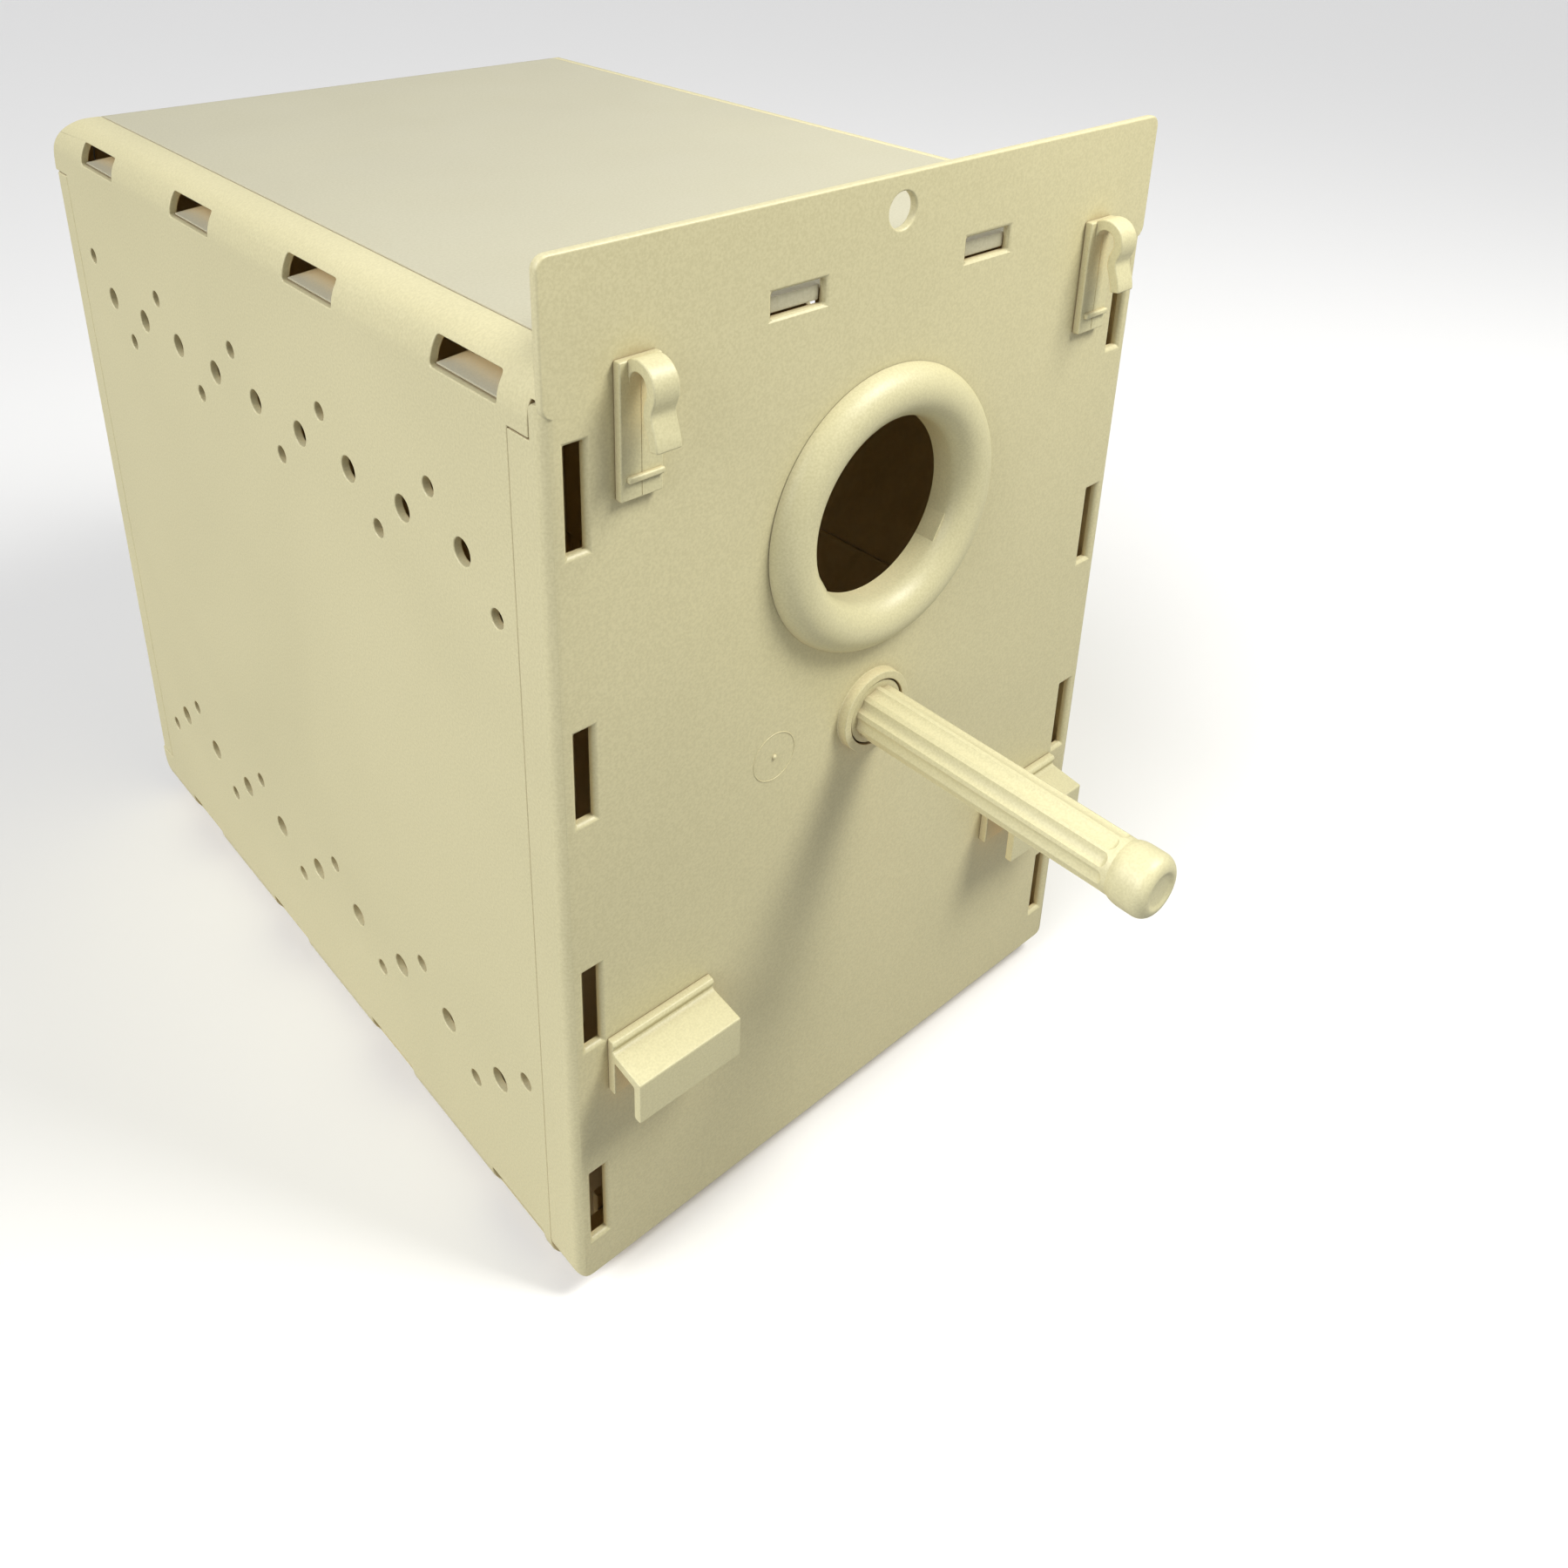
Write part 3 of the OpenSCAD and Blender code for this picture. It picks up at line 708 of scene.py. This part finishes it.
path = [(arch_y + arch_r * math.cos(a), arch_z + arch_r * math.sin(a))
        for a in [math.radians(t) for t in range(0, 181, 12)]]
path[0] = (path[0][0], arch_z - 1.5)
leg_y = arch_y - arch_r
path += [(leg_y, 264.6), (leg_y + 0.5, 263.2), (leg_y + 1.1, 261.8), (leg_y + 1.2, 260.5),
         (leg_y + 1.0, 259.2), (leg_y + 0.4, 257.6), (leg_y - 0.2, 256.0), (leg_y - 0.6, 254.2),
         (leg_y - 0.75, 252.9)]
arm = mould(strip("arm", arm_w, path, arm_t), 0.45, 3, 50)

# %% Hook base plate and ridge
base = mould(block("base", (-5.5, -plate_t, 239.3), (5.5, 0.05, 270.5)), 0.4, 3)
ridge = block("ridge", (-4.0, -plate_t - 1, 243.5), (5.4, -1, 245.0))
ridge = mould(ridge, 0.45, 3)
seam = block("seam", (-0.12, -plate_t - 0.12, 239.8), (0.12, -1, 268))
hook = joined("hook", [base, ridge, arm, seam])


def shifted(piece, name, x):
    """A copy moved sideways by x millimetres."""
    twin = copied(piece, name)
    only(twin)
    bpy.ops.transform.translate(value=(x * MM, 0, 0))
    bpy.ops.object.transform_apply(location=True, rotation=True, scale=True)
    return twin


right_hook = shifted(hook, "hook_right", hook_x)
left_hook = shifted(hook, "hook_left", -hook_x)
bpy.data.objects.remove(hook)

# %% [markdown]
# ## Lower brackets
# A bracket is one extruded section: a back plate with a lip along its top, a sloping shelf, and a
# leg that hangs down in front of the cage rail. The section is drawn as a row of points, filled,
# and extruded sideways; a final bevel softens it.

# %% Bracket section
section = [(0.05, 73), (0.05, 90.5), (-2.0, 90.3), (-2.6, 89.4), (-2.3, 88.4), (-1.9, 87.6),
           (-2.4, 86.9), (-3.4, 86.7), (-13.0, 85.3), (-13.1, 84.6), (-13.1, 72.8), (-12.7, 72.3),
           (-11.0, 72.3), (-10.6, 72.8), (-10.6, 82.4), (-10.2, 82.8), (-3.1, 84.0), (-2.6, 83.6),
           (-2.6, 73.4), (-2.2, 73)]
bracket_w = 32.8
bpy.ops.object.select_all(action="DESELECT")
bpy.ops.mesh.primitive_circle_add(vertices=len(section), radius=0.01, fill_type="NGON")
bracket = settle("bracket")
for vertex, (y, z) in zip(bracket.data.vertices, section):
    vertex.co = at(-bracket_w / 2, y, z)
pick(bracket, lambda c, n: True)
bpy.ops.mesh.extrude_region_move(TRANSFORM_OT_translate={"value": (bracket_w * MM, 0, 0)})
bpy.ops.mesh.select_all(action="SELECT")
bpy.ops.mesh.normals_make_consistent(inside=False)
done()
mould(bracket, 0.3, 2, 50)
right_bracket = shifted(bracket, "bracket_right", bracket_x)
left_bracket = shifted(bracket, "bracket_left", -bracket_x)
bpy.data.objects.remove(bracket)

# %% [markdown]
# ## Who stands for what
# Each modelled piece takes the place of its CAD part and moves with the same body: the perch and
# the rear panel pull off, and all the rest stays together.

# %% Ride on the bodies
def pressed(piece, node):
    """Presses corners that a bevel threw a hair outside back into the CAD part's box."""
    low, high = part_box(node)
    furthest = 0
    for vertex in piece.data.vertices:
        inside = Vector([min(max(v, a), b) for v, a, b in zip(vertex.co, low, high)])
        furthest = max(furthest, (vertex.co - inside).length)
        vertex.co = inside
    return furthest / MM


stand_ins = {
    "front_panel": (front_panel, "box", "panel_plastic"),
    "left_side_panel": (left_side, "box", "panel_plastic"),
    "right_side_panel": (right_side, "box", "panel_plastic"),
    # The roof and floor take the cover finish, the same cream darkened as painted shade.
    "roof_panel": (roof, "box", "cover_plastic"),
    "floor_panel": (floor, "box", "cover_plastic"),
    "rear_panel": (rear_panel, "rear_panel", "panel_plastic"),
    "entrance_ring": (entrance, "box", "fitting_plastic"),
    "perch": (perch, "perch", "fitting_plastic"),
    "left_hook": (left_hook, "box", "fitting_plastic"),
    "right_hook": (right_hook, "box", "fitting_plastic"),
    "left_bracket": (left_bracket, "box", "fitting_plastic"),
    "right_bracket": (right_bracket, "box", "fitting_plastic"),
}
for node, (piece, body, slot) in stand_ins.items():
    print(node, "pressed in by", round(pressed(piece, node), 3), "mm")
    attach(piece, body)
    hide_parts(node)
print("Pieces:", len(stand_ins))

# %% [markdown]
# ## The plastic
# All the mouldings are the same warm cream polypropylene, left with a fine satin texture by the
# mould. Four effects make it look real: a very fine grain that breaks up the highlights, slow
# drifts of tone where the plastic flowed, a little dust on faces that look up, and painted shade in
# slots and inside the box. Each effect is a node group, so the three finishes share them and differ
# in their amounts; the roof and floor finish is also a darker, greyer cream, a painted shade for the
# duller look of the roof under the light.

# %% Node group tools
def group(name, inputs, outputs):
    """An empty node group with number inputs and outputs."""
    tree = bpy.data.node_groups.new(name, "ShaderNodeTree")
    for label, value in inputs.items():
        socket = tree.interface.new_socket(label, in_out="INPUT", socket_type="NodeSocketFloat")
        socket.default_value = value
    for label in outputs:
        tree.interface.new_socket(label, in_out="OUTPUT", socket_type="NodeSocketFloat")
    return tree, tree.nodes.new("NodeGroupInput"), tree.nodes.new("NodeGroupOutput")


def math_node(tree, operation, a, b=None, c=None):
    """A Math node with its inputs linked or set."""
    node = tree.nodes.new("ShaderNodeMath")
    node.operation = operation
    for i, value in enumerate((a, b, c)):
        if isinstance(value, (int, float)):
            node.inputs[i].default_value = value
        elif value is not None:
            tree.links.new(value, node.inputs[i])
    return node.outputs[0]


# %% Fine grain
def make_grain():
    tree, into, out = group("satin_grain", {"Size per metre": 1500.0}, ["Grain", "Specks"])
    place = tree.nodes.new("ShaderNodeTexCoord").outputs["Object"]
    fine = tree.nodes.new("ShaderNodeTexNoise")
    fine.inputs["Detail"].default_value = 3
    fine.inputs["Roughness"].default_value = 0.6
    tree.links.new(place, fine.inputs["Vector"])
    tree.links.new(into.outputs[0], fine.inputs["Scale"])
    tree.links.new(fine.outputs["Fac"], out.inputs["Grain"])
    coarse = tree.nodes.new("ShaderNodeTexNoise")
    coarse.inputs["Detail"].default_value = 2
    tree.links.new(place, coarse.inputs["Vector"])
    tree.links.new(math_node(tree, "MULTIPLY", into.outputs[0], 0.7), coarse.inputs["Scale"])
    specks = tree.nodes.new("ShaderNodeMapRange")
    specks.inputs["From Min"].default_value = 0.35
    specks.inputs["From Max"].default_value = 0.65
    tree.links.new(coarse.outputs["Fac"], specks.inputs["Value"])
    tree.links.new(specks.outputs["Result"], out.inputs["Specks"])
    return tree


grain = make_grain()


# %% Flow marks
def make_flow():
    tree, into, out = group("flow_marks", {"Size per metre": 9.0}, ["Tone"])
    place = tree.nodes.new("ShaderNodeTexCoord").outputs["Object"]
    slow = tree.nodes.new("ShaderNodeTexNoise")
    slow.inputs["Detail"].default_value = 4
    slow.inputs["Roughness"].default_value = 0.45
    slow.inputs["Distortion"].default_value = 0.6
    tree.links.new(place, slow.inputs["Vector"])
    tree.links.new(into.outputs[0], slow.inputs["Scale"])
    spread = tree.nodes.new("ShaderNodeMapRange")
    spread.inputs["From Min"].default_value = 0.3
    spread.inputs["From Max"].default_value = 0.7
    tree.links.new(slow.outputs["Fac"], spread.inputs["Value"])
    tree.links.new(spread.outputs["Result"], out.inputs["Tone"])
    return tree


flow = make_flow()


# %% Dust on upward faces
def make_dust():
    tree, into, out = group("settled_dust", {"Amount": 0.3}, ["Dust"])
    normal = tree.nodes.new("ShaderNodeNewGeometry").outputs["Normal"]
    parts = tree.nodes.new("ShaderNodeSeparateXYZ")
    tree.links.new(normal, parts.inputs[0])
    upward = tree.nodes.new("ShaderNodeMapRange")
    upward.inputs["From Min"].default_value = 0.75
    upward.inputs["From Max"].default_value = 1.0
    tree.links.new(parts.outputs["Z"], upward.inputs["Value"])
    patches = tree.nodes.new("ShaderNodeTexNoise")
    patches.inputs["Scale"].default_value = 40
    patches.inputs["Detail"].default_value = 6
    tree.links.new(tree.nodes.new("ShaderNodeTexCoord").outputs["Object"], patches.inputs["Vector"])
    soft = math_node(tree, "MULTIPLY_ADD", patches.outputs["Fac"], 0.5, 0.6)
    dusty = math_node(tree, "MULTIPLY", upward.outputs["Result"], soft)
    tree.links.new(math_node(tree, "MULTIPLY", dusty, into.outputs["Amount"]), out.inputs["Dust"])
    return tree


dust = make_dust()


# %% Painted shade in recesses and inside
def make_recess():
    """Masks for painted shade in slots, crevices and the closed inside, from ambient occlusion of two
    reaches.
    """
    tree, into, out = group("recess_shade", {"Amount": 1.0}, ["Recess", "Inside"])
    for label, reach, low, high in (("Recess", 5, 0.12, 0.8), ("Inside", 400, 0.04, 0.38)):
        open_sky = tree.nodes.new("ShaderNodeAmbientOcclusion")
        open_sky.samples = 6
        open_sky.inputs["Distance"].default_value = reach * MM
        closed = tree.nodes.new("ShaderNodeMapRange")
        closed.interpolation_type = "SMOOTHSTEP"
        closed.inputs["From Min"].default_value = low
        closed.inputs["From Max"].default_value = high
        closed.inputs["To Min"].default_value = 1
        closed.inputs["To Max"].default_value = 0
        tree.links.new(open_sky.outputs["AO"], closed.inputs["Value"])
        amount = math_node(tree, "MULTIPLY", closed.outputs["Result"], into.outputs["Amount"])
        tree.links.new(amount, out.inputs[label])
    return tree


recess = make_recess()
print("Node groups:", [g.name for g in bpy.data.node_groups])


# %% [markdown]
# A finish mixes two close creams by the flow marks, darkens the specks slightly, and greys the
# dusty faces. The closed inside is painted a warm tan, a painted shade for the light that bounces
# about in a cream box and takes on its colour, and slots and crevices are painted a deep brown
# shade. Roughness follows the grain, so highlights are soft and a little broken. The grain also
# feeds a weak Bump.

# %% Cream plastic
speck_tint = (0.90, 0.895, 0.87)
dust_colour = (0.50, 0.49, 0.41)
# The next two colours are painted shade: a warm tan for the closed inside and a deep brown in slots and
# crevices.
inside_shade_colour = (0.86, 0.65, 0.31)
recess_shade_colour = (0.26, 0.19, 0.105)
painted_shade_amount = 0.85
grain_depth = 0.1 * MM


def cream(name, light, deep, rough, grain_size, bump, dusting):
    """One finish of the cream plastic."""
    material = bpy.data.materials.new(name)
    material.use_nodes = True
    tree = material.node_tree
    shader = tree.nodes["Principled BSDF"]
    shader.inputs["IOR"].default_value = 1.49
    groups = {}
    for key, source in (("grain", grain), ("flow", flow), ("dust", dust), ("recess", recess)):
        groups[key] = tree.nodes.new("ShaderNodeGroup")
        groups[key].node_tree = source
    groups["grain"].inputs[0].default_value = grain_size
    groups["dust"].inputs["Amount"].default_value = dusting
    groups["recess"].inputs["Amount"].default_value = painted_shade_amount

    def blend(kind, factor, a, b):
        mix = tree.nodes.new("ShaderNodeMix")
        mix.data_type = "RGBA"
        mix.blend_type = kind
        tree.links.new(factor, mix.inputs["Factor"])
        for value, socket in ((a, mix.inputs[6]), (b, mix.inputs[7])):
            if isinstance(value, tuple):
                socket.default_value = (*value, 1)
            else:
                tree.links.new(value, socket)
        return mix.outputs[2]

    body = blend("MIX", groups["flow"].outputs["Tone"], deep, light)
    speckled = blend("MULTIPLY", groups["grain"].outputs["Specks"], body, speck_tint)
    dusted = blend("MIX", groups["dust"].outputs["Dust"], speckled, dust_colour)
    # Painted shade: the closed inside turns tan, and slots and crevices deep brown, by ambient occlusion.
    inside_shaded = blend("MIX", groups["recess"].outputs["Inside"], dusted, inside_shade_colour)
    recess_shaded = blend("MIX", groups["recess"].outputs["Recess"], inside_shaded, recess_shade_colour)
    tree.links.new(recess_shaded, shader.inputs["Base Color"])
    satin = math_node(tree, "MULTIPLY_ADD", groups["grain"].outputs["Grain"], 0.16, rough - 0.08)
    tree.links.new(math_node(tree, "MULTIPLY_ADD", groups["dust"].outputs["Dust"], 0.3, satin),
                   shader.inputs["Roughness"])
    relief = tree.nodes.new("ShaderNodeBump")
    relief.inputs["Strength"].default_value = bump
    relief.inputs["Distance"].default_value = grain_depth
    tree.links.new(groups["grain"].outputs["Grain"], relief.inputs["Height"])
    tree.links.new(relief.outputs["Normal"], shader.inputs["Normal"])
    return material


finishes = {
    "panel_plastic": cream("panel_cream", light=(0.65, 0.60, 0.365), deep=(0.60, 0.555, 0.335),
                           rough=0.42, grain_size=2200, bump=0.16, dusting=0.15),
    # The cover finish is a darker, greyer copy of the cream: a painted shade on the roof and floor.
    "cover_plastic": cream("shaded_cover_cream", light=(0.50, 0.475, 0.335), deep=(0.465, 0.44, 0.315),
                           rough=0.46, grain_size=2200, bump=0.16, dusting=0.4),
    "fitting_plastic": cream("fitting_cream", light=(0.64, 0.60, 0.365), deep=(0.595, 0.555, 0.335),
                             rough=0.44, grain_size=2400, bump=0.14, dusting=0.1),
}
for node, (piece, body, slot) in stand_ins.items():
    piece.data.materials.clear()
    piece.data.materials.append(finishes[slot])
for node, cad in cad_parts.items():
    cad.data.materials.clear()
    cad.data.materials.append(finishes[stand_ins[node][2]])

# %% [markdown]
# ## Stage, light and camera
# The box stands on a plain pale floor. A small softbox close above the front, to the right, gives
# the front its slow fade from top to bottom and the perch its shadow. Two very soft suns from the
# left light the side and the roof evenly, because a sun has no falloff and also keeps the floor
# one tone. The surround is pale where it is seen, but adds only a little light of its own.

# %% Floor
floor_seen, floor_bounce = (0.90, 0.90, 0.89, 1), (0.36, 0.36, 0.35, 1)
bpy.ops.object.select_all(action="DESELECT")
bpy.ops.mesh.primitive_plane_add(size=8, location=(0, 0, cad_box[0].z - 0.0004))
stage_floor = settle("stage_floor")
floor_paint = bpy.data.materials.new("floor_paint")
floor_paint.use_nodes = True
paint = floor_paint.node_tree.nodes["Principled BSDF"]
paint.inputs["Roughness"].default_value = 0.8
tone = floor_paint.node_tree.nodes.new("ShaderNodeMix")
tone.data_type = "RGBA"
tone.inputs[6].default_value = floor_bounce
tone.inputs[7].default_value = floor_seen
rays = floor_paint.node_tree.nodes.new("ShaderNodeLightPath")
floor_paint.node_tree.links.new(rays.outputs["Is Camera Ray"], tone.inputs["Factor"])
floor_paint.node_tree.links.new(tone.outputs[2], paint.inputs["Base Color"])
stage_floor.data.materials.append(floor_paint)


# %% Lights
def softbox(name, place, aim, size, power, colour):
    """A square area light that faces its aim."""
    bpy.ops.object.light_add(type="AREA", location=place)
    lamp = bpy.context.active_object
    lamp.name = name
    lamp.data.shape = "SQUARE"
    lamp.data.size = size
    lamp.data.energy = power
    lamp.data.color = colour
    lamp.rotation_euler = (Vector(aim) - Vector(place)).to_track_quat("-Z", "Y").to_euler()
    return lamp


def soft_sun(name, towards, strength, spread, colour):
    """A sun with a wide disc, as a large far softbox would be."""
    bpy.ops.object.light_add(type="SUN", location=towards)
    lamp = bpy.context.active_object
    lamp.name = name
    lamp.data.energy = strength
    lamp.data.angle = math.radians(spread)
    lamp.data.color = colour
    lamp.rotation_euler = Vector(towards).to_track_quat("Z", "Y").to_euler()
    return lamp


warm_white, cool_white = (1.0, 0.985, 0.94), (0.98, 0.98, 1.0)
softbox("front_softbox", (0.32, -0.52, 0.90), aim=(0, -0.05, 0.15), size=0.35, power=9.4,
        colour=warm_white)
soft_sun("left_sun", (-1.3, -0.2, 0.7), strength=1.5, spread=40, colour=cool_white)
soft_sun("upper_sun", (-1.2, 0.4, 1.1), strength=1.8, spread=40, colour=cool_white)

# %% Surround
glow_strength = 0.22
world = bpy.data.worlds.new("studio")
bpy.context.scene.world = world
world.use_nodes = True
studio = world.node_tree
glow = studio.nodes["Background"]
glow.inputs["Strength"].default_value = glow_strength
backdrop = studio.nodes.new("ShaderNodeBackground")
for node in (glow, backdrop):
    node.inputs["Color"].default_value = (1, 1, 1, 1)
seen = studio.nodes.new("ShaderNodeMixShader")
studio.links.new(studio.nodes.new("ShaderNodeLightPath").outputs["Is Camera Ray"], seen.inputs[0])
studio.links.new(glow.outputs[0], seen.inputs[1])
studio.links.new(backdrop.outputs[0], seen.inputs[2])
studio.links.new(seen.outputs[0], studio.nodes["World Output"].inputs["Surface"])
bpy.context.scene.view_settings.view_transform = "Standard"

# %% Camera
camera_place = (-237.42, -210.25, 376.24)
azimuth, elevation, roll = (math.radians(v) for v in (-41.71, 24.92, 1.13))
back = Vector((math.sin(azimuth) * math.cos(elevation), -math.cos(azimuth) * math.cos(elevation),
               math.sin(elevation)))
level_right = (-back).cross(Vector((0, 0, 1))).normalized()
level_up = level_right.cross(-back)
right = math.cos(roll) * level_right + math.sin(roll) * level_up
up = math.cos(roll) * level_up - math.sin(roll) * level_right
bpy.ops.object.camera_add(location=at(*camera_place))
camera = bpy.context.active_object
camera.rotation_euler = Matrix((right, up, back)).transposed().to_euler()
camera.data.sensor_width = 36
camera.data.lens = 32.61
camera.data.shift_x = 0.031
camera.data.shift_y = -0.2248
camera.data.clip_start = 0.01
bpy.context.scene.camera = camera
